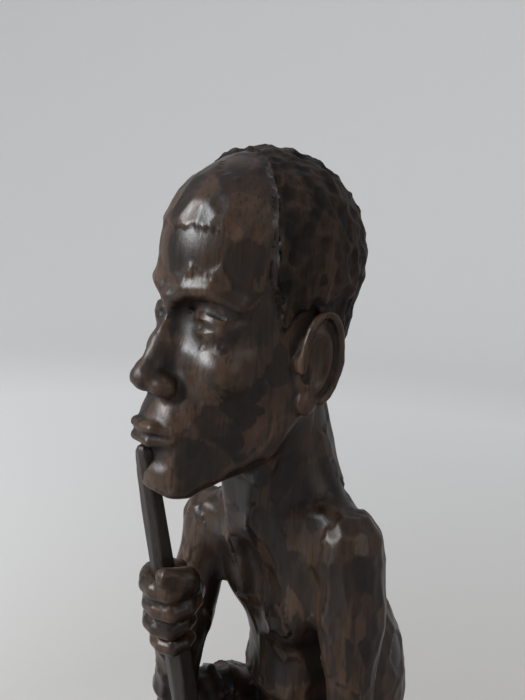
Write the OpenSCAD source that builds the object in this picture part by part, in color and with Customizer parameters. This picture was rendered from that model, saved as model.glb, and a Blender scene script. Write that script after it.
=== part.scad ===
// Carved hardwood figure: a person seated on a log, leaning forward, with both
// elbows near the knees and a tapered staff held upright in the right hand.
// The figure, seat and base are one block of wood; the staff is separate.
// Each node below is one region of the block, cut where its neighbour begins.
// +Z is up, the figure faces -Y, and its left side is +X.

/* [Head] */
// Widest breadth of the skull, side to side
head_w = 70; // [64:1:74]
// Length of the skull, brow to back
head_d = 84; // [82:1:88]
// Height from the chin to the crown
head_h = 133; // [128:1:136]
// How far the chin is lifted, in degrees
head_tilt = 4; // [0:1:8]
// How far the hair stands out from the skull
hair_t = 3; // [2:0.5:4]

/* [Body] */
// Breadth between the two shoulder joints
shoulder_span = 78; // [74:1:82]
// Height of the left shoulder joint above the floor
shoulder_z = 224; // [220:1:228]
// How much lower the right shoulder hangs
shoulder_drop = 16; // [8:1:18]
// Breadth between the middles of the two knees
knee_span = 76; // [72:1:82]
// Height of the middle of the knees above the floor
knee_z = 119; // [115:1:122]

/* [Staff] */
// Diameter of the staff at the lips
staff_tip_d = 4.5; // [4:0.5:6]
// Diameter of the staff where it stands on the base
staff_foot_d = 14; // [12:0.5:15]

/* [Seat and base] */
// Breadth of the base, side to side
base_w = 112; // [108:1:120]
// Length of the base, front to back
base_l = 150; // [146:1:156]
// Thickness of the base
base_t = 16; // [14:1:18]
// Diameter of the log seat at its top
seat_d = 74; // [70:1:78]
// Height of the top of the log seat above the floor
seat_z = 72; // [70:1:74]

/* [Hidden] */
$fn = 24;
wood = [0.16, 0.12, 0.10];
dark_wood = [0.10, 0.08, 0.07];
pale_wood = [0.24, 0.17, 0.13];

// Middle of the skull, how far the crown rises above it, and how far behind
// the middle of the base the log stands
skull = [0, -32, 332];
crown = 40;
seat_y = 28;

// The hair covers the skull behind this plane and above the nape
hairline_y = skull[1] - 14;
nape_z = skull[2] - 42;

// Joints of the arms: shoulder, elbow, wrist and middle of the hand
shoulder_l = [shoulder_span / 2 - 2, -9, shoulder_z];
elbow_l = [49, -9, 144];
wrist_l = [44, -32, 142];
palm_l = [40, -42, 140];
shoulder_r = [-shoulder_span / 2 + 1, -20, shoulder_z - shoulder_drop];
elbow_r = [-36, -41, 138];
wrist_r = [-19, -53, 168];
palm_r = [-16, -58, 187];

// Joints of the legs, for the left side; the right side mirrors them
hip = [22, 28, 96];
knee = [knee_span / 2, -28, knee_z];
ankle = [31, -22, base_t + 14];
heel = [30, -10, base_t + 8];
toe = [35, -58, base_t + 5];

// Points along the staff, from its tip at the lips to its foot on the base
staff_path = [
    [0, -81, 262], [-4, -76, 248], [-8, -69, 225], [-12, -60, 195],
    [-15, -51, 160], [-15, -43, 125], [-13, -29, base_t]
];
staff_last = len(staff_path) - 1;

function head_point(p) = skull + [
    p[0],
    p[1] * cos(head_tilt) + p[2] * sin(head_tilt),
    p[2] * cos(head_tilt) - p[1] * sin(head_tilt)
];
function staff_drop(i) = (staff_path[0][2] - staff_path[i][2]) / (staff_path[0][2] - base_t);
function staff_r(i) = (staff_tip_d + (staff_foot_d - staff_tip_d) * pow(staff_drop(i), 0.3)) / 2;

// An egg-shaped lump with its own half-breadths, turned about X
module lump(c, r, lean = 0)
    translate(c) rotate([lean, 0, 0]) scale(r) sphere(1);

// The outer egg of the hair, a little larger than the skull
module hair_egg()
    hull() lump(
        skull,
        [head_w / 2 + hair_t, head_d / 2 + hair_t, crown + hair_t],
        -head_tilt
    );

// A tapered limb between two points
module limb(a, ra, b, rb)
    hull() {
        translate(a) sphere(ra);
        translate(b) sphere(rb);
    }

module mirrored(side) mirror([side < 0 ? 1 : 0, 0, 0]) children();

// ---- solid shapes, before the neighbours are cut away ----

module base_shape()
    linear_extrude(base_t) hull()
        for (x = [-1, 1], y = [-1, 1])
            translate([x * (base_w / 2 - 22), y * (base_l / 2 - 22)]) circle(22, $fn = 48);

module seat_shape()
    translate([0, seat_y, base_t]) cylinder(h = seat_z - base_t, d1 = seat_d + 6, d2 = seat_d, $fn = 48);

module loincloth_shape()
    hull() {
        lump([0, seat_y + 4, 96], [42, 34, 22]);
        lump([0, seat_y, seat_z + 6], [40, 38, 8]);
        lump([0, 6, 100], [34, 26, 17]);
    }

// The end of the cloth that hangs down in front of the log
module flap_shape()
    hull() {
        lump([0, -14, 94], [15, 5, 8]);
        lump([0, -14, 54], [13, 4, 4]);
    }

module torso_shape()
    hull() {
        lump([0, 22, 122], [34, 30, 32], 20);
        lump([0, 7, 170], [36, 28, 36], 20);
        lump([0, -9, 214], [39, 21, 18], 12);
    }

module neck_shape() limb([0, -22, 292], 19, [0, -10, 236], 24);

module skull_shape() {
    hull() {
        lump(skull, [head_w / 2, head_d / 2, crown], -head_tilt);
        lump(head_point([0, -6, -44]), [head_w / 2 - 6, head_d / 2 - 10, 26], -head_tilt);
    }
    hull() {
        lump(head_point([0, -8, -36]), [head_w / 2 - 8, 34, 22], -head_tilt);
        lump(head_point([0, -24, crown + 15 - head_h]), [19, 22, 14], -head_tilt);
    }
    limb(head_point([0, -38, -24]), 4, head_point([0, -46, -48]), 6);
}

module ear_shape() limb(head_point([33, 4, -24]), 6, head_point([31, 0, -48]), 5);

module upper_arm_left_shape() limb(shoulder_l, 15, elbow_l, 12.5);
module forearm_left_shape() limb(elbow_l, 11.5, wrist_l, 8.5);
module hand_left_shape()
    hull() {
        translate(wrist_l) sphere(8);
        lump(palm_l, [11, 10, 7]);
        lump(palm_l + [-2, -14, -9], [10, 7, 6]);
    }
module upper_arm_right_shape() limb(shoulder_r, 15, elbow_r, 11);
module forearm_right_shape() limb(elbow_r, 10.5, wrist_r, 8);
module hand_right_shape()
    hull() {
        lump(palm_r + [0, 0, 6], [15, 15, 10]);
        lump(palm_r + [0, 1, -11], [12, 12, 9]);
    }

module thigh_shape() limb(hip, 22, knee, 16);
module shin_shape() limb(knee - [0, 2, 6], 14, ankle, 9);
module foot_shape()
    hull() {
        translate(heel) sphere(9);
        translate(ankle - [0, 2, 2]) sphere(9);
        lump(toe, [12, 9, 5]);
    }

module staff_shape()
    intersection() {
        for (i = [0 : staff_last - 1])
            limb(staff_path[i], staff_r(i), staff_path[i + 1], staff_r(i + 1));
        translate([-60, -120, base_t]) cube([120, 160, 300]);
    }

// ---- nodes: each region stops where the one before it starts ----

module base() color(dark_wood) base_shape();

module seat() color(wood) seat_shape();

module loincloth()
    color(dark_wood) difference() {
        union() {
            loincloth_shape();
            flap_shape();
        }
        seat_shape();
    }

module torso()
    color(wood) difference() {
        torso_shape();
        loincloth_shape();
        seat_shape();
    }

module neck()
    color(wood) difference() {
        neck_shape();
        torso_shape();
    }

module head()
    color(pale_wood) difference() {
        skull_shape();
        neck_shape();
        torso_shape();
        staff_shape();
    }

module hair()
    color(dark_wood) difference() {
        hair_egg();
        translate([-60, hairline_y - 120, 250]) cube([120, 120, 140]);
        translate([-60, hairline_y - 20, 200]) cube([120, 120, nape_z - 200]);
        skull_shape();
        neck_shape();
    }

module ear(side)
    color(wood) difference() {
        mirrored(side) ear_shape();
        skull_shape();
        neck_shape();
        hair_egg();
    }

module upper_arm_left()
    color(wood) difference() {
        upper_arm_left_shape();
        torso_shape();
        neck_shape();
        thigh_shape();
    }

module forearm_left()
    color(wood) difference() {
        forearm_left_shape();
        upper_arm_left_shape();
        torso_shape();
        thigh_shape();
    }

module hand_left()
    color(wood) difference() {
        hand_left_shape();
        forearm_left_shape();
        upper_arm_left_shape();
        torso_shape();
        thigh_shape();
        shin_shape();
    }

module upper_arm_right()
    color(wood) difference() {
        upper_arm_right_shape();
        torso_shape();
        neck_shape();
        mirrored(-1) thigh_shape();
    }

module forearm_right()
    color(wood) difference() {
        forearm_right_shape();
        upper_arm_right_shape();
        torso_shape();
        mirrored(-1) thigh_shape();
        staff_shape();
    }

module hand_right()
    color(wood) difference() {
        hand_right_shape();
        forearm_right_shape();
        upper_arm_right_shape();
        staff_shape();
    }

module thigh(side)
    color(wood) difference() {
        mirrored(side) thigh_shape();
        torso_shape();
        loincloth_shape();
        flap_shape();
        seat_shape();
        staff_shape();
    }

module shin(side)
    color(wood) difference() {
        mirrored(side) shin_shape();
        mirrored(side) thigh_shape();
        seat_shape();
        staff_shape();
    }

module foot(side)
    color(wood) difference() {
        mirrored(side) foot_shape();
        mirrored(side) shin_shape();
        base_shape();
        seat_shape();
    }

module staff() color(pale_wood) staff_shape();

base();
seat();
loincloth();
torso();
neck();
head();
hair();
ear(1);  // ear_left
ear(-1);  // ear_right
upper_arm_left();
forearm_left();
hand_left();
upper_arm_right();
forearm_right();
hand_right();
thigh(1);  // thigh_left
thigh(-1);  // thigh_right
shin(1);  // shin_left
shin(-1);  // shin_right
foot(1);  // foot_left
foot(-1);  // foot_right
staff();
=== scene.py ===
"""Carved hardwood figure seated on a log, with a tapered staff held to the lips.

The figure is sculpted as a distance field in millimetres, meshed, and then cut into knife facets.
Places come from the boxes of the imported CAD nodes. The figure faces -Y and its left side is +X.
"""
import math

import bpy
import numpy as np
from mathutils import Matrix, Vector, kdtree


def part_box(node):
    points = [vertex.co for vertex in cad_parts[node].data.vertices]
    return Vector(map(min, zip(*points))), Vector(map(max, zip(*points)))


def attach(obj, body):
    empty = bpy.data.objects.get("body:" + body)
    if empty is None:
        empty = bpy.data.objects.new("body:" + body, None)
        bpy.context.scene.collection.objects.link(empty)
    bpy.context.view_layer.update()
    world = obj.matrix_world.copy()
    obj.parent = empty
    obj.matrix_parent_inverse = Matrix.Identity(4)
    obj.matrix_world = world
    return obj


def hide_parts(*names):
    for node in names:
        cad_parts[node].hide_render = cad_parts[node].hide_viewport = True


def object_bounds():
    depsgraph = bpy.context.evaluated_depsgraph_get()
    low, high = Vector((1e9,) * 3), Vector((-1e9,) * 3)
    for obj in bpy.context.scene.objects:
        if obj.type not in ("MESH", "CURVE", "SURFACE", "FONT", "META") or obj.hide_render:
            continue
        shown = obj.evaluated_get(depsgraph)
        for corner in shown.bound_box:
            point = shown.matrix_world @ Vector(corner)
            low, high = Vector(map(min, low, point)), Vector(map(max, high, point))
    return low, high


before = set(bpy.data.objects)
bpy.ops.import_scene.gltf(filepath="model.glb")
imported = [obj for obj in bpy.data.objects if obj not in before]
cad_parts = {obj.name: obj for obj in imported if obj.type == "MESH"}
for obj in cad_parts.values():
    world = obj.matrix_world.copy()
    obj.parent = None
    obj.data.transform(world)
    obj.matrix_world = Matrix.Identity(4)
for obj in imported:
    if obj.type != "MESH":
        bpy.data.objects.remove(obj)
CAD_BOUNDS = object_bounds()
MM = 0.001
VOXEL = 0.8         # mm between the figure's lattice points
BASE_VOXEL = 1.2    # the same for the base and log
BLOCK = 16                                 # lattice points along one block of the meshing
SIDES = (-1, 1)                            # right and left


# ------------------------------------------------------------ places from the frame

def box(node):
    """Lowest and highest corner of a CAD node, in millimetres."""
    low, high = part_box(node)
    return np.array(low) / MM, np.array(high) / MM


FLOOR_TOP = box("base")[1][2]
BASE_HALF = box("base")[1][:2]
SEAT_LOW, SEAT_HIGH = box("seat")
SEAT = (SEAT_LOW + SEAT_HIGH) / 2
SEAT_R = (SEAT_HIGH[0] - SEAT_LOW[0]) / 2

# The hair is an egg around the skull, so its back and top give the skull's middle.
HEAD_TILT = math.radians(4)
SKULL_R = np.array([35.0, 42.0, 40.0])
HAIR_T = 3.0
HAIR_HIGH = box("hair")[1]
SKULL = np.array([0.0, HAIR_HIGH[1] - SKULL_R[1] - HAIR_T, HAIR_HIGH[2] - SKULL_R[2] - HAIR_T])
HEAD_AXES = np.array([
    [1.0, 0.0, 0.0],
    [0.0, math.cos(HEAD_TILT), math.sin(HEAD_TILT)],
    [0.0, -math.sin(HEAD_TILT), math.cos(HEAD_TILT)],
])

# Joints of the limbs
SHOULDER_L = np.array([box("upper_arm_left")[1][0] - 24.5, -9.0, box("upper_arm_left")[1][2] - 15.0])
SHOULDER_R = np.array([-38.0, -20.0, box("upper_arm_right")[1][2] - 15.0])
ELBOW_L = SHOULDER_L + [12, 0, -80]
WRIST_L = SHOULDER_L + [7, -23, -82]
PALM_L = SHOULDER_L + [3, -33, -84]
ELBOW_R = SHOULDER_R + [4, -19, -73]
WRIST_R = SHOULDER_R + [19, -33, -40]
PALM_R = SHOULDER_R + [22, -38, -21]
HIP = np.array([22.0, SEAT[1], SEAT_HIGH[2] + 24])
KNEE = np.array([38.0, SEAT[1] - 56, SEAT_HIGH[2] + 47])
ANKLE = np.array([31.0, KNEE[1] + 6, FLOOR_TOP + 14])

# The staff runs from the lips through the right hand to the base.
STAFF_PATH = np.array([
    [0, -81, 262], [-4, -76, 248], [-8, -69, 225], [-12, -60, 195],
    [-15, -51, 160], [-15, -43, 125], [-13, -29, FLOOR_TOP],
])
STAFF_TIP_R = 2.2
STAFF_FOOT_R = 6.9


def hp(x, y, z):
    """A point given in the head's own axes: left, back and up from the middle of the skull."""
    return SKULL + HEAD_AXES @ np.array([x, y, z], float)


def head_path(*points):
    """Several points given in the head's own axes."""
    return [hp(*point) for point in points]


def turn_x(degrees):
    """Axes of a shape that leans about X."""
    a = math.radians(degrees)
    return np.array([[1, 0, 0], [0, math.cos(a), -math.sin(a)], [0, math.sin(a), math.cos(a)]])


def side(point, s):
    """The same point on the left (1) or right (-1) side."""
    return np.array([point[0] * s, point[1], point[2]], float)


def noise(points, scale, seed=0):
    """Smooth value noise from 0 to 1, the same for the same place on every run."""
    q = points / scale
    cell = np.floor(q).astype(np.int64)
    t = q - cell
    t = t * t * (3 - 2 * t)
    total = np.zeros(len(points))
    for corner in range(8):
        step = np.array([corner & 1, corner >> 1 & 1, corner >> 2 & 1])
        at = cell + step
        mixed = at[:, 0] * 73856093 ^ at[:, 1] * 19349663 ^ at[:, 2] * 83492791 ^ (seed + 1) * 2654435761
        mixed = (mixed ^ (mixed >> 13)) * 1274126177 & 0xFFFFFFFF
        value = ((mixed ^ (mixed >> 16)) & 0xFFFF) / 65535
        weight = np.prod(np.where(step == 1, t, 1 - t), axis=1)
        total += weight * value
    return total


# ------------------------------------------------------------ distance field

class Shape:
    """A solid given by its signed distance, with a ball that holds it."""

    def __init__(self, distance, centre, reach):
        self.distance = distance
        self.centre = np.array(centre, float)
        self.reach = float(reach)


def egg(centre, radii, axes=None):
    """An ellipsoid, with axes of its own if they are given."""
    centre, radii = np.array(centre, float), np.array(radii, float)

    def distance(p):
        q = p - centre
        if axes is not None:
            q = q @ axes
        near = np.sqrt(((q / radii) ** 2).sum(1))
        slope = np.sqrt(((q / radii ** 2) ** 2).sum(1))
        return near * (near - 1) / np.maximum(slope, 1e-6)

    return Shape(distance, centre, radii.max())


def tube(points, radii):
    """A rounded rod through several points, with its own radius at each."""
    points = np.array(points, float)
    radii = np.broadcast_to(np.array(radii, float), (len(points),))
    centre = (points.min(0) + points.max(0)) / 2
    reach = (np.linalg.norm(points - centre, axis=1) + radii).max()

    def distance(p):
        best = None
        for a, b, ra, rb in zip(points[:-1], points[1:], radii[:-1], radii[1:]):
            along = b - a
            t = np.clip((p - a) @ along / (along @ along), 0, 1)
            d = np.linalg.norm(p - a - t[:, None] * along, axis=1) - (ra + (rb - ra) * t)
            best = d if best is None else np.minimum(best, d)
        return best

    return Shape(distance, centre, reach)


def slab(centre, half, rounding):
    """A block with rounded edges, given by its half sizes."""
    centre, half = np.array(centre, float), np.array(half, float)

    def distance(p):
        q = np.abs(p - centre) - (half - rounding)
        outside = np.linalg.norm(np.maximum(q, 0), axis=1)
        return outside + np.minimum(q.max(1), 0) - rounding

    return Shape(distance, centre, np.linalg.norm(half))


def keep(shape, point, normal):
    """The part of a shape behind a plane."""
    point, normal = np.array(point, float), np.array(normal, float)
    normal = normal / np.linalg.norm(normal)

    def distance(p):
        return np.maximum(shape.distance(p), (p - point) @ normal)

    return Shape(distance, shape.centre, shape.reach)


def soft_min(a, b, blend):
    """The smaller of two distances, with a fillet about as wide as the blend."""
    if blend <= 0:
        return np.minimum(a, b)
    h = np.maximum(blend - np.abs(a - b), 0) / blend
    return np.minimum(a, b) - h * h * blend / 4


FAR = 60.0    # mm; stands for any distance that is too large to matter


class Clay:
    """Shapes added and cut in order, each in a named region."""

    def __init__(self):
        self.steps = []
        self.regions = []

    def add(self, region, blend, shape):
        if region not in self.regions:
            self.regions.append(region)
        self.steps.append((1, self.regions.index(region), blend, shape))

    def cut(self, blend, shape):
        self.steps.append((-1, -1, blend, shape))

    def measure(self, points, steps=None):
        """Signed distance and region of each point."""
        d = np.full(len(points), FAR)
        region = np.zeros(len(points), np.int16)
        for sign, name, blend, shape in steps or self.steps:
            other = shape.distance(points)
            if sign > 0:
                region[other < d] = name
                d = soft_min(d, other, blend)
            else:
                d = -soft_min(-d, other, blend)
        return d, region

    def near(self, centre, reach):
        """The steps whose shapes come near a ball."""
        out = []
        for step in self.steps:
            shape = step[3]
            if np.linalg.norm(shape.centre - centre) < shape.reach + reach + step[2] + 2:
                out.append(step)
        return out

    def measure_all(self, points, cell):
        """Like measure, for many points, block by block."""
        keys = np.floor(points / cell).astype(np.int64)
        flat = (keys[:, 0] * 4096 + keys[:, 1]) * 4096 + keys[:, 2]
        order = np.argsort(flat, kind="stable")
        cuts = np.flatnonzero(np.diff(flat[order])) + 1
        d = np.empty(len(points))
        region = np.empty(len(points), np.int16)
        for members in np.split(order, cuts):
            centre = (keys[members[0]] + 0.5) * cell
            d[members], region[members] = self.measure(points[members], self.near(centre, cell * 0.9))
        return d, region

    def mesh(self, low, high, step):
        """Surface net of the zero level: points, quads and the normals."""
        low = np.array(low, float)
        count = np.ceil((np.array(high) - low) / step / BLOCK).astype(int)
        size = count * BLOCK
        field = np.full(size, FAR, np.float32)
        offsets = np.stack(np.meshgrid(*[np.arange(BLOCK)] * 3, indexing="ij"), -1).reshape(-1, 3)
        half = (BLOCK - 1) / 2
        reach = math.sqrt(3) * half * step
        for block in np.ndindex(*count):
            first = np.array(block) * BLOCK
            centre = low + (first + half) * step
            steps = self.near(centre, reach)
            if not any(s[0] > 0 for s in steps):
                continue
            at_centre = self.measure(centre[None], steps)[0][0]
            place = tuple(slice(f, f + BLOCK) for f in first)
            if abs(at_centre) > reach * 1.4 + 3:
                field[place] = np.sign(at_centre) * FAR
                continue
            d = self.measure(low + (first + offsets) * step, steps)[0]
            field[place] = d.reshape(BLOCK, BLOCK, BLOCK)
        points, quads = surface_net(field)
        points = low + points * step
        normals = None
        for _ in range(3):
            points, normals = self.settle(points, step)
        return points, quads, normals

    def settle(self, points, step):
        """Moves the points onto the surface and returns their normals."""
        d = self.measure_all(points, BLOCK * step)[0]
        e = step * 0.35
        corners = np.array([[1, -1, -1], [-1, -1, 1], [-1, 1, -1], [1, 1, 1]], float)
        slope = sum(c * self.measure_all(points + c * e, BLOCK * step)[0][:, None] for c in corners)
        slope /= np.maximum(np.linalg.norm(slope, axis=1), 1e-9)[:, None]
        return points - slope * np.clip(d, -step, step)[:, None], slope


def surface_net(field):
    """Points and quads of the surface where the field changes sign, in lattice units."""
    inside = field < 0
    n = np.array(field.shape)
    total = np.zeros(n - 1, np.int8)
    corners = [(i, j, k) for i in (0, 1) for j in (0, 1) for k in (0, 1)]
    for i, j, k in corners:
        total += inside[i:n[0] - 1 + i, j:n[1] - 1 + j, k:n[2] - 1 + k]
    cells = np.argwhere((total > 0) & (total < 8))
    number = np.full(n - 1, -1, np.int32)
    number[tuple(cells.T)] = np.arange(len(cells))
    value = {c: field[tuple((cells + c).T)] for c in corners}
    place = np.zeros((len(cells), 3))
    hits = np.zeros(len(cells))
    for a in corners:
        for axis in range(3):
            if a[axis]:
                continue
            b = tuple(a[m] + (m == axis) for m in range(3))
            crossing = (value[a] < 0) != (value[b] < 0)
            t = value[a] / np.where(crossing, value[a] - value[b], 1)
            where = np.repeat(np.array(a, float)[None], len(cells), 0)
            where[:, axis] = t
            place[crossing] += where[crossing]
            hits += crossing
    points = cells + place / np.maximum(hits, 1)[:, None]
    quads = []
    for axis in range(3):
        ahead = [slice(None)] * 3
        behind = [slice(None)] * 3
        ahead[axis], behind[axis] = slice(1, None), slice(0, -1)
        a, b = inside[tuple(behind)], inside[tuple(ahead)]
        u, v = (axis + 1) % 3, (axis + 2) % 3
        edges = np.argwhere(a != b)
        at_u, at_v = edges[:, u], edges[:, v]
        edges = edges[(at_u > 0) & (at_v > 0) & (at_u < n[u] - 1) & (at_v < n[v] - 1)]
        unit_u, unit_v = np.eye(3, dtype=int)[u], np.eye(3, dtype=int)[v]
        ring = [number[tuple((edges - m).T)] for m in (unit_u + unit_v, unit_v, 0 * unit_u, unit_u)]
        ring = np.stack(ring, 1)
        outward = a[tuple(edges.T)]
        ring[~outward] = ring[~outward][:, ::-1]
        quads.append(ring)
    return points, np.concatenate(quads)


# ------------------------------------------------------------ the figure

def hairline(p):
    """How far a point lies in front of or below the hair, in millimetres."""
    q = (p - SKULL) @ HEAD_AXES
    wave = 0.9 * np.sin(q[:, 2] / 6.5 + 0.6) + 0.5 * np.sin(q[:, 2] / 2.7 + q[:, 0] / 5)
    edge = np.interp(q[:, 2], (-43, -30, -18, -8, 5, 25, 40), (-2, -8, -12, -17, -20.5, -17, -14))
    front = (edge + wave - q[:, 1]) * 0.9
    nape = -43 + 1.2 * np.sin(q[:, 0] / 3.1) - 0.2 * np.clip(q[:, 1] - 4, 0, 20) - q[:, 2]
    around_ear = 15.5 - np.hypot(q[:, 1] - 3, (q[:, 2] + 36) * 0.75)
    return np.maximum(np.maximum(front, nape), np.where(np.abs(q[:, 0]) > 18, around_ear, -9))


def add_head(clay):
    """Skull, jaw, cheek bones and hair; the face and ears come after."""
    cranium = egg(SKULL, SKULL_R, HEAD_AXES)
    temples = egg(hp(0, 2, -30), (31, 35, 30), HEAD_AXES)
    clay.add("head", 0, cranium)
    clay.add("head", 8, temples)
    clay.add("jaw", 8, egg(hp(0, -8, -42), (27.5, 31, 44), HEAD_AXES))
    clay.add("jaw", 8, egg(hp(0, -34, -83), (12, 9, 8.5), HEAD_AXES))
    for s in SIDES:
        clay.add("jaw", 9, tube(head_path((s * 24, 2, -50), (s * 21, -8, -68), (s * 9, -30, -83)), [8, 8, 7]))
        clay.add("jaw", 9, egg(hp(s * 18.5, -26.5, -41), (9.5, 8, 8), HEAD_AXES))
        clay.cut(9, egg(hp(s * 39, -24, -6), (6, 14, 15), HEAD_AXES))

    def scalp(p):
        """The skull grown outwards, behind the hair line."""
        skin = soft_min(cranium.distance(p), temples.distance(p), 8)
        return np.maximum(skin - HAIR_T + 1.0, hairline(p))

    clay.add("hair", 0.8, Shape(scalp, hp(0, 6, -8), 60))


def add_eye(clay, s):
    """Socket, brow, eyeball, two lids, a drilled pupil and the fold over the lid."""
    eye = hp(s * 13.5, -23.6, -25.5)
    clay.cut(6, egg(hp(s * 13.5, -41, -24), (11, 8.2, 7.5), HEAD_AXES))
    brow = head_path((s * 3, -38.2, -16.5), (s * 9, -38, -13.5),
                     (s * 17, -34.3, -12.4), (s * 24.5, -26, -16.5))
    clay.add("face", 6, tube(brow, [2.2, 2.4, 2.4, 1.8]))
    clay.add("face", 1.2, egg(eye, (10.5, 10.5, 10.5)))
    slit = hp(s * 13.5, -31.2, -26)
    upper = keep(egg(eye, (11.6, 11.5, 11.3)), slit, HEAD_AXES @ [-0.06 * s, -0.85, -1])
    lower = keep(egg(eye, (11.3, 11.3, 11.2)), slit, HEAD_AXES @ [0, -0.5, 1])
    clay.add("face", 2.2, keep(upper, hp(0, 0, -17.5), HEAD_AXES @ [0, 0, 1]))
    clay.add("face", 2.2, keep(lower, hp(0, 0, -33), HEAD_AXES @ [0, 0, -1]))
    clay.cut(0.5, egg(hp(s * 13.2, -35.0, -25.2), (1.7, 1.5, 1.7), HEAD_AXES))
    fold = head_path((s * 5.2, -32.8, -21.8), (s * 9, -35.2, -19.2),
                     (s * 15, -35.0, -18.6), (s * 21.5, -30.3, -21.5))
    clay.cut(1.2, tube(fold, [0.4, 0.9, 0.9, 0.4]))


def add_nose(clay):
    bridge = head_path((0, -37.5, -18), (0, -40.5, -32), (0, -44.5, -44))
    clay.add("face", 7, tube(bridge, [2.8, 3.8, 4.8]))
    clay.add("face", 3, egg(hp(0, -45.5, -47), (6.2, 6.2, 5.4), HEAD_AXES))
    for s in SIDES:
        clay.add("face", 3, egg(hp(s * 6.8, -41.5, -49), (4.6, 6, 4.5), HEAD_AXES))
    for s in SIDES:
        clay.cut(0.9, egg(hp(s * 3.9, -44.0, -53.6), (2.2, 3.0, 1.7), HEAD_AXES))
        clay.cut(1.8, tube(head_path((s * 12.0, -39.6, -45.8), (s * 12.4, -38.2, -51.5)), [0.4, 0.8]))


def add_mouth(clay):
    clay.add("face", 9, egg(hp(0, -31, -65), (17, 13, 14), HEAD_AXES))
    clay.cut(2.6, tube(head_path((0, -46.4, -56.5), (0, -47.4, -61.5)), [1.0, 1.2]))
    upper = head_path((-12, -39.6, -66.8), (-5.5, -44.6, -64.9), (0, -45.2, -65.5),
                      (5.5, -44.6, -64.9), (12, -39.6, -66.8))
    lower = head_path((-10.5, -40.0, -68.6), (-4.5, -44.2, -70.0), (4.5, -44.2, -70.0), (10.5, -40.0, -68.6))
    line = head_path((-12.8, -41.0, -67.2), (-5.5, -46.6, -67.3), (0, -48.0, -67.9),
                     (5.5, -46.6, -67.3), (12.8, -41.0, -67.2))
    clay.add("face", 2.4, tube(upper, [1.3, 2.5, 2.4, 2.5, 1.3]))
    clay.add("face", 2.4, tube(lower, [1.5, 2.9, 2.9, 1.5]))
    clay.cut(0.9, tube(line, 0.6))
    clay.cut(6, tube(head_path((-8, -44, -76), (0, -46, -76.2), (8, -44, -76)), [1.0, 1.6, 1.0]))
    for s in SIDES:
        clay.cut(5, tube(head_path((s * 12.5, -41.5, -54), (s * 17, -37, -64)), [0.5, 0.3]))


def add_ear(clay, s):
    """A plain ear: its plate, outer and inner rims, front flap and lobe."""
    def ring(degrees, out, back, up, width, height):
        a = math.radians(degrees)
        return hp(s * out, back + width * math.cos(a), up + height * math.sin(a))

    clay.add("ear", 1.5, egg(hp(s * 31.5, 5.5, -34), (5.2, 9.2, 17), HEAD_AXES))
    clay.cut(1.2, egg(hp(s * 37.6, 3.6, -34), (4.2, 6.2, 11.5), HEAD_AXES))
    helix = [ring(a, 35.4, 5.5, -33, 8.8, 16.5) for a in range(195, -76, -18)]
    clay.add("ear", 0.8, tube(helix, 1.9))
    inner = [ring(a, 34.2, 5.0, -34, 4.9, 10.5) for a in range(110, -71, -20)]
    clay.add("ear", 0.8, tube(inner, 1.4))
    clay.add("ear", 1.2, egg(hp(s * 33.5, -3.2, -35), (2.6, 2.4, 4.0), HEAD_AXES))
    clay.add("ear", 1.5, egg(hp(s * 33.2, 2.2, -50), (2.9, 4.6, 4.8), HEAD_AXES))
    clay.cut(1.0, egg(hp(s * 35.4, 0.8, -39), (3.2, 2.6, 4.0), HEAD_AXES))


def add_neck(clay):
    clay.add("neck", 4, tube([SKULL + [0, 9, -40], SKULL + [0, 18, -96]], [18.5, 24]))
    for s in SIDES:
        cord = [SKULL + [s * 20, 12, -42], SKULL + [s * 14, -1, -72], SKULL + [s * 7, 0, -106]]
        clay.add("neck", 7, tube(cord, [4.2, 4.2, 4.0]))
    clay.add("neck", 5, egg(SKULL + [0, -4.5, -76], (4.2, 4, 6)))


def add_torso(clay):
    """Belly, ribs, a yoke that slopes between the uneven shoulders, chest, back and collar bones."""
    lean = turn_x(20)
    clay.add("torso", 3, egg((0, SEAT[1] - 6, 122), (34, 30, 32), lean))
    clay.add("torso", 12, egg((2, 7, 172), (31, 27, 38), lean))
    across = SHOULDER_L - SHOULDER_R
    across = across / np.linalg.norm(across)
    up = np.cross(across, np.cross([0, 0, 1.0], across))
    yoke = np.column_stack([across, np.cross(up / np.linalg.norm(up), across), up / np.linalg.norm(up)])
    clay.add("torso", 12, egg((SHOULDER_L + SHOULDER_R) / 2 + [0, 1, -1], (37, 18, 13), yoke))
    for s, shoulder in ((1, SHOULDER_L), (-1, SHOULDER_R)):
        clay.add("torso", 12, tube([(s * 5, -11, 250), shoulder + [-s * 7, 1, 4]], [10, 8]))
        chest = 25 if s > 0 else 15
        clay.add("torso", 12, egg((s * 15.5, -17, shoulder[2] - chest), (15, 9, chest)))
        clay.add("torso", 14, egg((s * 11, 20, 163), (25, 20, 36), lean))
        clay.add("torso", 14, egg((s * 8, 25, 148), (26, 22, 36), turn_x(24)))
        clay.add("torso", 10, egg((s * 18, 12, shoulder[2] - 20), (13, 9, 19), turn_x(14)))
        bone = [(s * 5, -29, 225), (s * 18, -26, shoulder[2] + 6), shoulder + [-s * 6, -8, 10]]
        clay.add("torso", 5, tube(bone, [2.2, 2.2, 2.6]))
    clay.add("torso", 9, egg((0, -2, 147), (24, 15, 18)))
    clay.cut(9, tube([(0, -33, 208), (0, -29, 180)], 1.2))
    clay.cut(9, tube([(0, 24, 206), (0, 43.5, 166), (0, 52, 140)], 1.5))
    clay.cut(1.5, egg((0, -18.5, 146), (1.8, 3, 2.2)))


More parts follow.
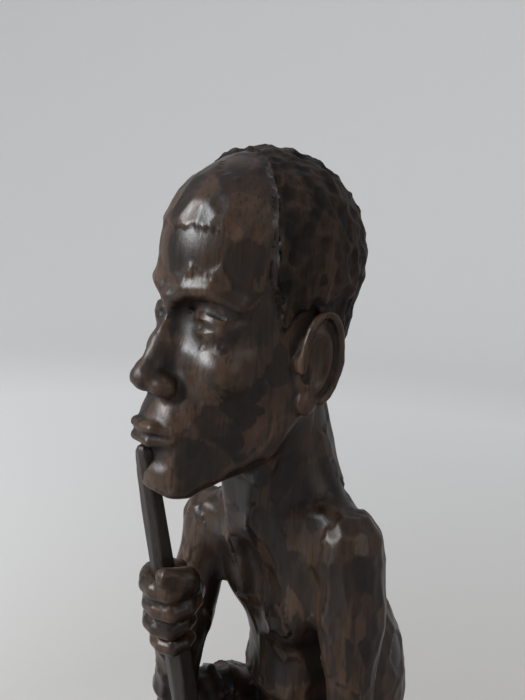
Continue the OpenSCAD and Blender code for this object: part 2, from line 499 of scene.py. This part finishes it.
def add_left_arm(clay):
    clay.add("arm_left", 8, egg(SHOULDER_L + [1, 0, -4], (14, 14.5, 17)))
    clay.add("arm_left", 4, tube([SHOULDER_L + [2, 0, -8], ELBOW_L], [12.5, 9.5]))
    clay.add("arm_left", 8, egg(SHOULDER_L + [5, 1, -28], (12, 14, 22)))
    clay.add("arm_left", 3, egg(ELBOW_L + [0, 1, 0], (10.2, 11.5, 10)))
    clay.add("arm_left", 4, tube([ELBOW_L, WRIST_L], [10.5, 7.2]))
    clay.add("arm_left", 4, egg((ELBOW_L + WRIST_L) / 2 + [1, 3, 1], (10, 13, 9.5)))
    clay.add("hand_left", 4, tube([WRIST_L, PALM_L + [0, 2, 0]], [7.4, 8]))
    clay.add("hand_left", 3, egg(PALM_L + [0, -2, 0], (10.8, 10, 6)))
    clay.add("hand_left", 3, egg(PALM_L + [0, -2, -8], (9.5, 7, 8)))
    for i in range(4):
        knuckle = PALM_L + [-7.6 + 5.1 * i, -9 + abs(i - 1.4) * 1.4, 1.2]
        bend = knuckle + [0.2, -7.5, -3.5]
        clay.add("hand_left", 0.8, tube([knuckle, bend, bend + [0, -1, -10 + i * 0.8]], [3.4, 3.0, 2.6]))
    thumb = [PALM_L + [-6, 8, 2], PALM_L + [-12, 1, 1], PALM_L + [-13.5, -6, -2]]
    clay.add("hand_left", 1.2, tube(thumb, [4, 3.6, 2.9]))


def staff_at(z):
    """The middle of the staff at a height."""
    rising = STAFF_PATH[::-1].T
    return np.array([np.interp(z, rising[2], rising[0]), np.interp(z, rising[2], rising[1]), z])


def add_right_arm(clay):
    clay.add("arm_right", 8, egg(SHOULDER_R + [-1, 0, -3], (14, 14.5, 17)))
    clay.add("arm_right", 4, tube([SHOULDER_R + [0, -2, -8], ELBOW_R], [11.5, 8.6]))
    clay.add("arm_right", 6, egg(SHOULDER_R + [-1, -9, -32], (10.5, 11.5, 20)))
    clay.add("arm_right", 3, egg(ELBOW_R + [0, 1, 0], (9.5, 10.5, 9.5)))
    clay.add("arm_right", 3, tube([ELBOW_R, WRIST_R], [9.4, 6.8]))
    clay.add("hand_right", 4, tube([WRIST_R, PALM_R + [-3, 7, -8]], [7.0, 8.5]))
    clay.add("hand_right", 3, egg(PALM_R + [-3, 8, 0], (10, 7.5, 15)))


def add_fist(clay):
    """Four fingers wrapped around the staff, with the thumb over the top one."""
    for i in range(4):
        middle = staff_at(PALM_R[2] + 14 - 9.6 * i) + (np.array([1.5, 1.9, 0]) if i < 2 else 0)
        wrap = (8.8, 9.0, 8.0, 6.8)[i]
        thick = (1, 1, 0.94, 0.84)[i]
        ring = []
        for degrees in (128, 165, 205, 245, 285, 325, 365, 398):
            a = math.radians(degrees)
            corner = 1.0 if degrees in (205, 325) else 0
            droop = -2.4 * math.sin(math.radians(degrees - 128) * 0.66)
            ring.append(middle + [(wrap + corner) * math.cos(a), (wrap + corner) * math.sin(a), droop])
        clay.add("hand_right", 1.8, tube(ring, thick * np.array([4.4, 4.8, 5.2, 4.8, 4.8, 5.1, 4.6, 3.8])))
    top = staff_at(PALM_R[2] + 20)
    thumb = [PALM_R + [6, 9, 5], top + [10.5, 4, -3], top + [9.5, -5, 0]]
    clay.add("hand_right", 1.6, tube(thumb, [6, 5.4, 4.2]))


def add_leg(clay, s):
    """Thigh, knee cap, shin, calf, ankle bones, foot and toes."""
    name = "leg_left" if s > 0 else "leg_right"
    hip, knee, ankle = side(HIP, s), side(KNEE, s), side(ANKLE, s)
    clay.add(name, 2, tube([hip, knee], [21, 14.5]))
    clay.add(name, 5, egg(knee + [0, -9, -1], (9.5, 7, 10)))
    clay.add(name, 3, tube([knee - [0, 2, 6], ankle], [13, 8]))
    clay.add(name, 6, egg(side(KNEE + [-3, 8, -36], s), (10.5, 11, 22)))
    clay.add(name, 4, tube([side(KNEE + [-1, -12, -14], s), side(ANKLE + [1, -8, 8], s)], [3, 2.6]))
    for out in (-1, 1):
        clay.add(name, 3, egg(ankle + [out * 7, 1, 1], (3.5, 4.5, 4.5)))
    sole = FLOOR_TOP
    clay.add(name, 4, egg((s * 30, ankle[1] + 11, sole + 7), (9, 9.5, 9)))
    clay.add(name, 6, tube([ankle + [0, -2, -3], (s * 33, ankle[1] - 20, sole + 8)], [8.5, 7]))
    clay.add(name, 4, egg((s * 33.5, ankle[1] - 22, sole + 4.5), (12, 12, 6.5)))
    for i in range(5):
        x = s * (25.5 + 4.6 * i)
        length = 38 - 2.2 * i
        r = 4.2 if i == 0 else 3.3
        toe = [(x, ankle[1] - 26, sole + 5.5), (x + s * 0.4, ankle[1] - length, sole + 3.2)]
        clay.add(name, 0.9, tube(toe, [r, r * 0.92]))


def add_cloth(clay):
    """The loincloth over lap and seat, a sleeve on each thigh, and the flap in front."""
    clay.add("cloth", 2, egg((0, SEAT[1] + 4, 95), (41, 33, 21)))
    clay.add("cloth", 8, egg((0, SEAT[1], 80), (39, 37, 10)))
    clay.add("cloth", 8, egg((0, 6, 100), (34, 24, 16)))
    for s in SIDES:
        sleeve = keep(tube([side(HIP, s), side(KNEE + [-3, 13, -4], s)], [23, 19.6]),
                      side(KNEE + [-3, 11, -4], s), side(KNEE - HIP, s))
        clay.add("cloth", 1.2, sleeve)
        for t, r in ((0.62, 4.0), (0.8, 3.4)):
            across = side(HIP + (KNEE - HIP) * t, s)
            fold = [across + [-s * 12, -3, 13], across + [0, -2, 19.5], across + [s * 13, 3, 13]]
            clay.add("cloth", 4, tube(fold, [r * 0.6, r, r * 0.6]))
    clay.add("cloth", 3, slab((0, -13.5, 76), (14, 3.2, 22), 2.5))
    for i in range(4):
        x = -9 + 6 * i
        clay.add("cloth", 2, tube([(x * 0.7, -16.5, 96), (x, -16.2, 57)], [1.2, 2.1]))
    waist = [(-33, 4, 116), (-20, -14, 113), (0, -19, 111), (20, -14, 113), (33, 4, 116)]
    clay.add("cloth", 3, tube(waist, 4.2))


def figure_clay():
    clay = Clay()
    add_head(clay)
    add_mouth(clay)
    add_nose(clay)
    for s in SIDES:
        add_eye(clay, s)
        add_ear(clay, s)
    add_neck(clay)
    add_torso(clay)
    for s in SIDES:
        add_leg(clay, s)
    add_cloth(clay)
    add_left_arm(clay)
    add_right_arm(clay)
    add_fist(clay)
    clay.cut(0, slab((0, 0, FLOOR_TOP - 30), (90, 120, 30.4), 0.1))
    return clay


def base_clay():
    """The plinth, and the log that stands on it."""
    clay = Clay()
    corner = 22.0    # radius of the plinth's corners
    edge = 1.5       # how far its edges are rounded

    def plinth(p):
        q = np.abs(p[:, :2]) - (BASE_HALF - corner)
        flat = np.linalg.norm(np.maximum(q, 0), axis=1) + np.minimum(q.max(1), 0) - corner
        tall = np.abs(p[:, 2] - FLOOR_TOP / 2) - FLOOR_TOP / 2
        both = np.stack([flat + edge, tall + edge], 1)
        return np.linalg.norm(np.maximum(both, 0), axis=1) + np.minimum(both.max(1), 0) - edge

    def log(p):
        around = np.arctan2(p[:, 1] - SEAT[1], p[:, 0])
        t = (p[:, 2] - FLOOR_TOP) / (SEAT_HIGH[2] - FLOOR_TOP)
        r = SEAT_R - 1.2 - 3 * t + 0.8 * np.sin(around * 5 + 1) + 0.5 * np.sin(around * 11 + p[:, 2] / 15)
        flat = np.hypot(p[:, 0], p[:, 1] - SEAT[1]) - r
        tall = np.maximum(p[:, 2] - SEAT_HIGH[2], FLOOR_TOP - 3 - p[:, 2])
        return -soft_min(-flat, -tall, 3)

    clay.add("base", 0, Shape(plinth, (0, 0, FLOOR_TOP / 2), 95))
    clay.add("seat", 2, Shape(log, (0, SEAT[1], 44), 52))
    return clay


# ------------------------------------------------------------ knife work

# Region: breadth of a cut in mm, random tilt in degrees, greatest depth in mm, how much each cut is scooped
KNIFE = {
    "head": (5.4, 1.7, 0.6, 0.012), "jaw": (5.0, 2.2, 0.5, 0.018), "face": (4.0, 2.0, 0.25, 0.025),
    "hair": (2.5, 15.0, 1.7, 0.080), "ear": (4.0, 2.5, 0.25, 0.025), "neck": (5.2, 2.6, 0.7, 0.016),
    "torso": (5.8, 3.0, 0.8, 0.016), "arm_left": (5.4, 3.0, 0.8, 0.018), "arm_right": (5.4, 3.0, 0.8, 0.018),
    "hand_left": (4.0, 3.0, 0.4, 0.030), "hand_right": (4.0, 3.0, 0.45, 0.030),
    "leg_left": (5.4, 3.0, 0.8, 0.018), "leg_right": (5.4, 3.0, 0.8, 0.018),
    "cloth": (4.4, 6.0, 1.0, 0.040), "base": (7.0, 2.0, 0.5, 0.012), "seat": (5.6, 5.0, 0.9, 0.030),
}
KNIFE_GROUPS = (    # a cut runs on from one region to the next only inside a group
    ("head", "jaw", "face"), ("hair",), ("ear",),
    ("neck", "torso", "arm_left", "arm_right", "hand_left", "hand_right"),
    ("leg_left", "leg_right"), ("cloth",), ("base",), ("seat",),
)
GRAIN = np.array([1.0, 1.0, 0.72])    # the knife runs along the grain, so cuts are longer that way
RIDGE = 0.07                          # how soft the ridge between two cuts is, in mm
RIDGE_PASSES = 1                      # averaging passes that soften the ridges to about the mesh's fineness
NEIGHBOURS = 12                       # how many cuts may reach one point
LEAST_FACING = 0.35                   # cosine of the steepest slant at which a cut is read
TURN_COST = 3                         # mm that a cut at right angles to the surface is raised
DEEPER = 0.45                         # greatest difference between two cuts, as a share of the depth
SINK = 0.35                           # share of the depth by which every cut is lowered
PROUD, PROUD_SOFT = 0.3, 0.12         # how far a ridge may stand proud, and how softly it stops there
LOWEST = -1.3                         # share of the depth that no cut goes below
LIMIT_PASSES = 6                      # averaging passes that carry one region's depth into the next
BORDER_REACH, BORDER_GAIN = 3, 2.5    # how far the border of two groups spreads, and how strongly
BORDER_PASSES = 4                     # averaging passes at that border
WAVE, WAVE_SIZES = 0.08, (3.1, 7.3)   # a slight unevenness of the flats: its height and its sizes, in mm
SEED_TRIES, LEAST_TRIES = 14 * 3.2, 40    # tries to place a cut, for each breadth squared, and at least


def pick_seeds(points, breadth, rng):
    """Random points at least one breadth apart."""
    low, high = points.min(0), points.max(0)
    span = np.maximum(high - low, 1)
    area = span[0] * span[1] + span[1] * span[2] + span[0] * span[2]
    tries = int(min(len(points), SEED_TRIES * area / breadth ** 2))
    order = rng.permutation(len(points))[:max(tries, LEAST_TRIES)]
    chosen = np.empty((len(order), 3))
    out = []
    for i in order:
        p = points[i]
        if not out or ((chosen[:len(out)] - p) ** 2).sum(1).min() > breadth ** 2:
            chosen[len(out)] = p
            out.append(i)
    return np.array(out)


def cut_heights(points, normals, scoop, seeds, seed_normals, seed_depths):
    """Height of the lowest knife cut over each point, measured along its normal, and which cut it is."""
    tree = kdtree.KDTree(len(seeds))
    for i, p in enumerate(seeds * GRAIN):
        tree.insert(p, i)
    tree.balance()
    count = min(NEIGHBOURS, len(seeds))
    near = np.array([[hit[1] for hit in tree.find_n(p, count)] for p in points * GRAIN])
    gap = seeds[near] - points[:, None]
    apart = ((gap * GRAIN) ** 2).sum(2)
    facing = (seed_normals[near] * normals[:, None]).sum(2)
    height = (gap * seed_normals[near]).sum(2) / np.maximum(facing, LEAST_FACING)
    height += scoop[:, None] * apart + TURN_COST * (1 - facing) - seed_depths[near]
    lowest = height.min(1)
    owner = near[np.arange(len(points)), height.argmin(1)]
    return lowest - RIDGE * np.log(np.exp((lowest[:, None] - height) / RIDGE).sum(1)), owner


def carve(points, normals, edges, region, names, seed):
    """Cuts the surface with many shallow knife cuts: the new points, and a random tone for each cut."""
    rng = np.random.default_rng(seed)
    table = np.array([KNIFE[name] for name in names])
    group_of = [next(i for i, g in enumerate(KNIFE_GROUPS) if name in g) for name in names]
    group = np.array(group_of)[region]
    limit, scoop = spread(table[region][:, 2:], edges, LIMIT_PASSES).T
    height, tone = np.zeros(len(points)), np.zeros(len(points))
    for number in np.unique(group):
        members = np.flatnonzero(group == number)
        picked, tilts, depths = [], [], []
        for index in np.unique(region[members]):
            own = members[region[members] == index]
            breadth, tilt, deepest = table[index][:3]
            chosen = own[pick_seeds(points[own] * GRAIN, breadth, rng)]
            picked.append(chosen)
            tilts.append(rng.normal(0, math.tan(math.radians(tilt)), (len(chosen), 3)))
            depths.append(rng.uniform(0, DEEPER, len(chosen)) * deepest)
        picked = np.concatenate(picked)
        n = normals[picked] + np.concatenate(tilts)
        n /= np.linalg.norm(n, axis=1)[:, None]
        height[members], owner = cut_heights(points[members], normals[members], scoop[members],
                                             points[picked], n, np.concatenate(depths))
        tone[members] = rng.uniform(0, 1, len(picked))[owner]
    waves = WAVE * (noise(points, WAVE_SIZES[0]) + noise(points, WAVE_SIZES[1], 1) - 1)
    level = (height + waves) / limit - SINK
    level = np.maximum(PROUD - PROUD_SOFT * np.logaddexp(0, (PROUD - level) / PROUD_SOFT), LOWEST)
    move = spread(limit * level, edges, RIDGE_PASSES)
    border = np.zeros(len(points))    # where two groups meet, the cuts fade into each other
    border[edges[group[edges[:, 0]] != group[edges[:, 1]]].ravel()] = 1
    border = np.clip(spread(border, edges, BORDER_REACH) * BORDER_GAIN, 0, 1)
    move += border * (spread(move, edges, BORDER_PASSES) - move)
    return points + normals * move[:, None], tone


def edges_of(quads):
    """Each edge once, as a pair of point numbers."""
    pairs = np.concatenate([quads[:, [i, (i + 1) % 4]] for i in range(4)])
    return np.unique(np.sort(pairs, 1), axis=0)


def spread(values, edges, passes):
    """Averages a value with its neighbours several times."""
    a, b = edges[:, 0], edges[:, 1]
    count = np.bincount(a, minlength=len(values)) + np.bincount(b, minlength=len(values)) + 1.0
    for _ in range(passes):
        columns = [np.bincount(a, v[b], len(values)) + np.bincount(b, v[a], len(values)) + v
                   for v in np.atleast_2d(values.T)]
        values = (np.array(columns) / count).T.reshape(values.shape)
    return values


def vertex_normals(points, quads):
    """Normals of the whole surface, so that the pieces share them along their borders."""
    a, b, c, d = (points[quads[:, i]] for i in range(4))
    face = np.cross(c - a, d - b)
    columns = [sum(np.bincount(quads[:, i], face[:, m], len(points)) for i in range(4)) for m in range(3)]
    out = np.stack(columns, 1)
    return out / np.maximum(np.linalg.norm(out, axis=1), 1e-12)[:, None]


def make_object(name, points, quads, normals, attributes, material):
    """A mesh object from part of the sculpted surface."""
    used, flat = np.unique(quads, return_inverse=True)
    mesh = bpy.data.meshes.new(name)
    flat = flat.reshape(quads.shape)
    mesh.vertices.add(len(used))
    mesh.vertices.foreach_set("co", (points[used] * MM).astype(np.float32).ravel())
    mesh.loops.add(flat.size)
    mesh.loops.foreach_set("vertex_index", flat.ravel().astype(np.int32))
    mesh.polygons.add(len(flat))
    mesh.polygons.foreach_set("loop_start", np.arange(0, flat.size, 4, dtype=np.int32))
    mesh.update(calc_edges=True)
    mesh.validate()
    for key, values in attributes.items():
        layer = mesh.attributes.new(key, "FLOAT", "POINT")
        layer.data.foreach_set("value", values[used].astype(np.float32))
    mesh.shade_smooth()
    mesh.normals_split_custom_set_from_vertices(normals[used].tolist())
    mesh.materials.append(material)
    obj = bpy.data.objects.new(name, mesh)
    bpy.context.scene.collection.objects.link(obj)
    return obj


def shade_maps(points, quads, normals):
    """Per-point masks that the materials read: creases and hollows, where shade is painted dark, and ridges,
    painted lighter as wear and as painted highlight.

    Each is a height over the averaged surface, divided by the height in mm that counts as full.
    """
    edges = edges_of(quads)
    fine = ((spread(points, edges, 2) - points) * normals).sum(1)
    wide = ((spread(points, edges, 14) - points) * normals).sum(1)
    fine, wide = spread(fine, edges, 1), spread(wide, edges, 2)
    return {
        # painted shade: creases and broad hollows get a mask that darkens the wood there
        "shaded_crease": np.clip(fine / 0.12, 0, 1) * 0.5 + np.clip(wide / 0.6, 0, 1) * 0.5,
        # ridges get a mask that lightens the wood: partly wear, partly a painted highlight where ridges catch
        # the light
        "worn_and_lit": np.clip(-fine / 0.10, 0, 1) * 0.6 + np.clip(-wide / 0.5, 0, 1) * 0.4,
    }


# Piece: the clay regions it shows, and the CAD nodes it stands for
PIECES = {
    "head_carved": (("head", "jaw", "face", "ear"), ("head", "ear_left", "ear_right")),
    "hair_carved": (("hair",), ("hair",)),
    "torso_carved": (("neck", "torso"), ("neck", "torso")),
    "arm_left_carved": (("arm_left", "hand_left"), ("upper_arm_left", "forearm_left", "hand_left")),
    "arm_right_carved": (("arm_right", "hand_right"), ("upper_arm_right", "forearm_right", "hand_right")),
    "leg_left_carved": (("leg_left",), ("thigh_left", "shin_left", "foot_left")),
    "leg_right_carved": (("leg_right",), ("thigh_right", "shin_right", "foot_right")),
    "loincloth_carved": (("cloth",), ("loincloth",)),
    "seat_carved": (("seat",), ("seat",)),
    "base_carved": (("base",), ("base",)),
}
SLOTS = {"hair_carved": "hair_wood", "seat_carved": "base_wood", "base_carved": "base_wood"}


def build(clay, low, high, step, seed, wood):
    """Meshes a clay model, carves it, and makes one object for each piece it holds."""
    points, quads, normals = clay.mesh(low, high, step)
    region = clay.measure_all(points, BLOCK * step)[1]
    names = clay.regions
    points, tone = carve(points, normals, edges_of(quads), region, names, seed)
    low, high = np.array(CAD_BOUNDS[0]) / MM, np.array(CAD_BOUNDS[1]) / MM
    points = np.clip(points, low, high)
    points[:, 2] = np.where(points[:, 2] < 0.6, 0, points[:, 2])    # a flat underside
    normals = vertex_normals(points, quads)
    maps = {**shade_maps(points, quads, normals), "tone": tone}
    face_region = region[quads[:, 0]]
    for name, (regions, nodes) in PIECES.items():
        members = [names.index(r) for r in regions if r in names]
        chosen = np.isin(face_region, members)
        if not chosen.any():
            continue
        slot = SLOTS.get(name, "carved_wood")
        piece = make_object(name, points, quads[chosen], normals, maps, wood[slot])
        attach(piece, "root")
        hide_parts(*nodes)


# ------------------------------------------------------------ the staff

def staff_points():
    """The staff's middle line as one smooth curve, with its radius, from tip to foot."""
    heights = np.linspace(STAFF_PATH[0, 2], STAFF_PATH[-1, 2], 130)
    t = np.linspace(0, 1, len(heights))
    fit = [np.polyfit(STAFF_PATH[:, 2], STAFF_PATH[:, i], 4) for i in (0, 1)]
    middle = np.stack([np.polyval(fit[0], heights), np.polyval(fit[1], heights), heights], 1)
    radius = STAFF_TIP_R + (STAFF_FOOT_R - STAFF_TIP_R) * t ** 0.3
    return middle, radius


def build_staff(material):
    """A shaved stick: seven long flats of uneven breadth that wander a little."""
    middle, radius = staff_points()
    around = 48
    angle = np.linspace(0, 2 * math.pi, around, endpoint=False)
    breadths = [0, 0.9, 0.7, 0.85, 0.75, 0.8, 0.6, 0.95]
    flats = np.cumsum(breadths) * 2 * math.pi / 5.55    # their sum, so the last lies over the first
    rings = []
    for i, (centre, r) in enumerate(zip(middle, radius)):
        drift = 0.25 * math.sin(i / 19) + 0.1 * math.sin(i / 7)
        reach = np.full(around, 9.0)
        for j, flat in enumerate(flats):
            depth = 0.90 + 0.05 * math.sin(i / 11 + j * 2.1) + 0.02 * math.sin(i / 4.3 + j)
            c = np.cos(angle - flat - drift)
            reach = np.where(c > 0.3, np.minimum(reach, depth / np.maximum(c, 0.3)), reach)
        reach = np.minimum(reach, 1.06) * r
        rings.append(np.stack([centre[0] + reach * np.cos(angle), centre[1] + reach * np.sin(angle),
                               np.full(around, centre[2])], 1))
    cap = rings[0].copy()
    cap[:, :2] = middle[0, :2] + (cap[:, :2] - middle[0, :2]) * 0.7
    cap[:, 2] += 0.5
    rings.insert(0, cap)
    points = np.concatenate(rings + [cap.mean(0)[None] + [0, 0, 0.2], rings[-1].mean(0)[None]])
    rows = len(rings)
    quads = []
    for i in range(rows - 1):
        for j in range(around):
            k = (j + 1) % around
            quads.append((i * around + k, i * around + j, (i + 1) * around + j, (i + 1) * around + k))
    mesh = bpy.data.meshes.new("staff_shaved")
    tips = [(rows * around, j, (j + 1) % around) for j in range(around)]
    last = (rows - 1) * around
    foot = [(rows * around + 1, last + (j + 1) % around, last + j) for j in range(around)]
    mesh.from_pydata((points * MM).tolist(), [], quads + tips + foot)
    mesh.shade_smooth()
    for key in ("shaded_crease", "worn_and_lit", "tone"):
        mesh.attributes.new(key, "FLOAT", "POINT")
    mesh.materials.append(material)
    obj = bpy.data.objects.new("staff_shaved", mesh)
    bpy.context.scene.collection.objects.link(obj)
    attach(obj, "root")
    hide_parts("staff")


# ------------------------------------------------------------ materials

def nodes_of(name):
    """A new material, its node tree and its shader."""
    material = bpy.data.materials.new(name)
    material.use_nodes = True
    tree = material.node_tree
    return material, tree, tree.nodes["Principled BSDF"]


def ramp(tree, source, stops):
    """A colour ramp over a value."""
    node = tree.nodes.new("ShaderNodeValToRGB")
    elements = node.color_ramp.elements
    while len(elements) < len(stops):
        elements.new(0.5)
    for element, (place, colour) in zip(elements, stops):
        element.position = place
        element.color = colour if len(colour) == 4 else (*colour, 1)
    tree.links.new(source, node.inputs[0])
    return node.outputs[0]


def grey(value):
    return (value, value, value, 1)


def dim(colour, share):
    """The same colour, darker."""
    return tuple(c * share for c in colour[:3]) + (1,)


def noise_node(tree, stretch, scale, detail=4.0, rough=0.55, distort=0.0):
    """Noise in object space, stretched along the grain, which runs up the block."""
    place = tree.nodes.new("ShaderNodeTexCoord")
    mapping = tree.nodes.new("ShaderNodeMapping")
    mapping.inputs["Scale"].default_value = stretch
    tree.links.new(place.outputs["Object"], mapping.inputs["Vector"])
    node = tree.nodes.new("ShaderNodeTexNoise")
    node.inputs["Scale"].default_value = scale
    node.inputs["Detail"].default_value = detail
    node.inputs["Roughness"].default_value = rough
    node.inputs["Distortion"].default_value = distort
    tree.links.new(mapping.outputs[0], node.inputs["Vector"])
    return node.outputs["Fac"]


def mix(tree, factor, a, b):
    """One colour over another; each input is a constant or a socket."""
    node = tree.nodes.new("ShaderNodeMix")
    node.data_type = "RGBA"
    for socket, value in ((node.inputs["Factor"], factor), (node.inputs["A"], a), (node.inputs["B"], b)):
        if isinstance(value, (int, float, tuple)):
            socket.default_value = value
        else:
            tree.links.new(value, socket)
    return node.outputs["Result"]


def mask(tree, name):
    """A per-point value that the mesh carries."""
    node = tree.nodes.new("ShaderNodeAttribute")
    node.attribute_name = name
    return node.outputs["Fac"]


def bump(tree, height, strength, distance, under=None):
    node = tree.nodes.new("ShaderNodeBump")
    node.inputs["Strength"].default_value = strength
    node.inputs["Distance"].default_value = distance
    tree.links.new(height, node.inputs["Height"])
    if under is not None:
        tree.links.new(under, node.inputs["Normal"])
    return node.outputs["Normal"]


def ebony(name, heart, sap, gloss, specular=0.24, nicks=1.0):
    """Dark hardwood: brown streaks along the grain, a tone for each cut, creases and hollows painted dark as
    shade and made duller, ridges painted lighter as wear and as painted highlight, fine knife lines.

    heart and sap are the dark and light wood, gloss is the roughness of a polished flat, and nicks
    says how strong the fine marks are.
    """
    material, tree, shader = nodes_of(name)
    streak = noise_node(tree, (1, 1, 0.09), 95, 5, 0.6, 0.3)
    cloud = noise_node(tree, (1, 1, 0.5), 14, 3, 0.5)
    pores = noise_node(tree, (1, 1, 0.06), 900, 2, 0.5)
    scratch = noise_node(tree, (1, 1, 0.16), 420, 3, 0.6, 0.4)
    worn_and_lit, shaded_crease, tone = mask(tree, "worn_and_lit"), mask(tree, "shaded_crease"), mask(tree, "tone")
    layers = (    # where a layer shows, and its colour, from the first to the last
        (streak, [(0.42, grey(0)), (0.68, grey(1))], sap),
        (cloud, [(0.35, grey(0.65)), (0.7, grey(0))], dim(heart, 0.55)),
        (tone, [(0.0, grey(0.75)), (0.45, grey(0))], dim(heart, 0.45)),
        (tone, [(0.6, grey(0)), (1.0, grey(0.72))], dim(sap, 0.8)),
        (pores, [(0.36, grey(0.6)), (0.46, grey(0))], (0.004, 0.003, 0.003, 1)),
        # ridges painted lighter: partly wear, partly painted highlight
        (worn_and_lit, [(0.2, grey(0)), (0.95, grey(0.3))], sap),
        # painted shade: creases and hollows darkened to near black
        (shaded_crease, [(0.1, grey(0)), (0.8, grey(0.75))], (0.005, 0.0038, 0.003, 1)),
    )
    wood = heart
    for where, stops, colour in layers:
        wood = mix(tree, ramp(tree, where, stops), wood, colour)
    tree.links.new(wood, shader.inputs["Base Color"])
    rough = ramp(tree, cloud, [(0.3, grey(gloss)), (0.7, grey(gloss + 0.16))])
    rough = mix(tree, ramp(tree, scratch, [(0.4, grey(0)), (0.75, grey(0.35))]), rough, grey(0.62))
    rough = mix(tree, ramp(tree, shaded_crease, [(0.1, grey(0)), (0.7, grey(0.8))]), rough, grey(0.7))
    tree.links.new(rough, shader.inputs["Roughness"])
    shader.inputs["IOR"].default_value = 1.52
    shader.inputs["Specular IOR Level"].default_value = specular
    lines = bump(tree, scratch, 0.10 * nicks, 0.0004)
    lines = bump(tree, pores, 0.18, 0.0002, lines)
    lines = bump(tree, noise_node(tree, (1, 0.4, 0.7), 900, 2, 0.6, 0.8), 0.35 * nicks, 0.00015, lines)
    lines = bump(tree, noise_node(tree, (1, 1, 0.6), 230, 3, 0.6), 0.14 * nicks, 0.0006, lines)
    tree.links.new(lines, shader.inputs["Normal"])
    return material


# ------------------------------------------------------------ studio

def add_camera():
    """Looks from the figure's front left, a little above, and leans slightly."""
    azimuth, pitch, roll = (math.radians(v) for v in (52, 12, 4))
    distance = 345 * MM
    level = Vector((-math.sin(azimuth), math.cos(azimuth), 0))
    forward = level * math.cos(pitch) - Vector((0, 0, math.sin(pitch)))
    right = Vector((math.cos(azimuth), math.sin(azimuth), 0))
    up = right.cross(forward)
    right, up = right * math.cos(roll) + up * math.sin(roll), up * math.cos(roll) - right * math.sin(roll)
    aim_below_skull = 36.4 * MM
    place = Vector(SKULL * MM) - forward * distance - up * aim_below_skull
    camera = bpy.data.objects.new("camera", bpy.data.cameras.new("camera"))
    camera.data.lens = 46.3
    camera.data.clip_start = 0.01
    camera.matrix_world = Matrix((
        (right.x, up.x, -forward.x, place.x), (right.y, up.y, -forward.y, place.y),
        (right.z, up.z, -forward.z, place.z), (0, 0, 0, 1)))
    bpy.context.scene.collection.objects.link(camera)
    bpy.context.scene.camera = camera


def add_light(name, place, size, energy, colour):
    """A soft rectangular light that looks at the upper body."""
    aim = (0, -0.02, 0.26)
    data = bpy.data.lights.new(name, "AREA")
    data.shape = "RECTANGLE"
    data.size, data.size_y = size
    data.energy = energy
    data.color = colour
    light = bpy.data.objects.new(name, data)
    light.location = place
    light.rotation_euler = (Vector(aim) - Vector(place)).to_track_quat("-Z", "Y").to_euler()
    bpy.context.scene.collection.objects.link(light)


def add_cove():
    """A round floor that curves up into a wall on every side, so no view shows an edge."""
    floor_r, bend, top = 1.3, 0.9, 1.9    # radius of the flat floor, of its bend, and the wall's height
    profile = [(0.0, 0.0)] + [(floor_r * i / 4, 0.0) for i in range(1, 5)]
    for i in range(1, 17):
        a = math.pi / 2 * i / 16
        profile.append((floor_r + bend * math.sin(a), bend * (1 - math.cos(a))))
    profile.append((floor_r + bend, top))
    around = 96
    points = [(0.0, 0.0, 0.0)]
    for r, z in profile[1:]:
        points += [(r * math.cos(2 * math.pi * j / around), r * math.sin(2 * math.pi * j / around), z)
                   for j in range(around)]
    faces = [(0, 1 + j, 1 + (j + 1) % around) for j in range(around)]
    for i in range(len(profile) - 2):
        for j in range(around):
            k = (j + 1) % around
            low, high = 1 + i * around, 1 + (i + 1) * around
            faces.append((low + j, high + j, high + k, low + k))
    cove = bpy.data.meshes.new("cove")
    cove.from_pydata(points, [], faces)
    cove.shade_smooth()
    material, tree, shader = nodes_of("pale_cove")
    place = tree.nodes.new("ShaderNodeTexCoord")
    radius = tree.nodes.new("ShaderNodeVectorMath")
    radius.operation = "LENGTH"
    tree.links.new(place.outputs["Object"], radius.inputs[0])
    shade = ramp(tree, radius.outputs["Value"], [(0.25, (0.37, 0.355, 0.34)), (1.0, (0.70, 0.69, 0.68))])
    tree.links.new(shade, shader.inputs["Base Color"])
    shader.inputs["Roughness"].default_value = 0.8
    cove.materials.append(material)
    cove_object = bpy.data.objects.new("cove", cove)
    bpy.context.scene.collection.objects.link(cove_object)


def add_studio():
    add_cove()
    world = bpy.data.worlds.new("studio")
    world.use_nodes = True
    world.node_tree.nodes["Background"].inputs["Color"].default_value = (0.92, 0.95, 1.0, 1)
    world.node_tree.nodes["Background"].inputs["Strength"].default_value = 0.65
    bpy.context.scene.world = world
    add_light("window", (-0.30, -0.95, 0.75), (0.40, 0.46), 25, (0.93, 0.97, 1.0))
    add_light("room", (1.0, 0.1, 0.7), (0.6, 0.6), 2.5, (1.0, 0.93, 0.85))
    bpy.context.scene.view_settings.view_transform = "Standard"


# ------------------------------------------------------------ assembly

wood = {    # slot: name, dark wood, light wood, gloss, specular level, nicks
    "carved_wood": ebony("ebony", (0.0105, 0.0062, 0.0044, 1), (0.052, 0.028, 0.016, 1), 0.27, 0.2),
    "hair_wood": ebony("hair_ebony", (0.0050, 0.0033, 0.0025, 1), (0.040, 0.025, 0.017, 1), 0.42, 0.08, 3.0),
    "staff_wood": ebony("staff_ebony", (0.026, 0.020, 0.018, 1), (0.076, 0.054, 0.041, 1), 0.36),
    "base_wood": ebony("base_ebony", (0.014, 0.009, 0.006, 1), (0.050, 0.028, 0.017, 1), 0.40),
}

margin = 6    # mm of empty lattice around each block
figure_low = np.array(CAD_BOUNDS[0]) / MM - margin
figure_high = np.array(CAD_BOUNDS[1]) / MM + margin
figure_low[2] = FLOOR_TOP - 3    # the feet reach a little into the base
build(figure_clay(), figure_low, figure_high, VOXEL, 11, wood)
base_low = np.array([-BASE_HALF[0], -BASE_HALF[1], 0]) - margin
base_high = np.array([BASE_HALF[0], BASE_HALF[1], SEAT_HIGH[2]]) + margin
build(base_clay(), base_low, base_high, BASE_VOXEL, 12, wood)
build_staff(wood["staff_wood"])
add_camera()
add_studio()
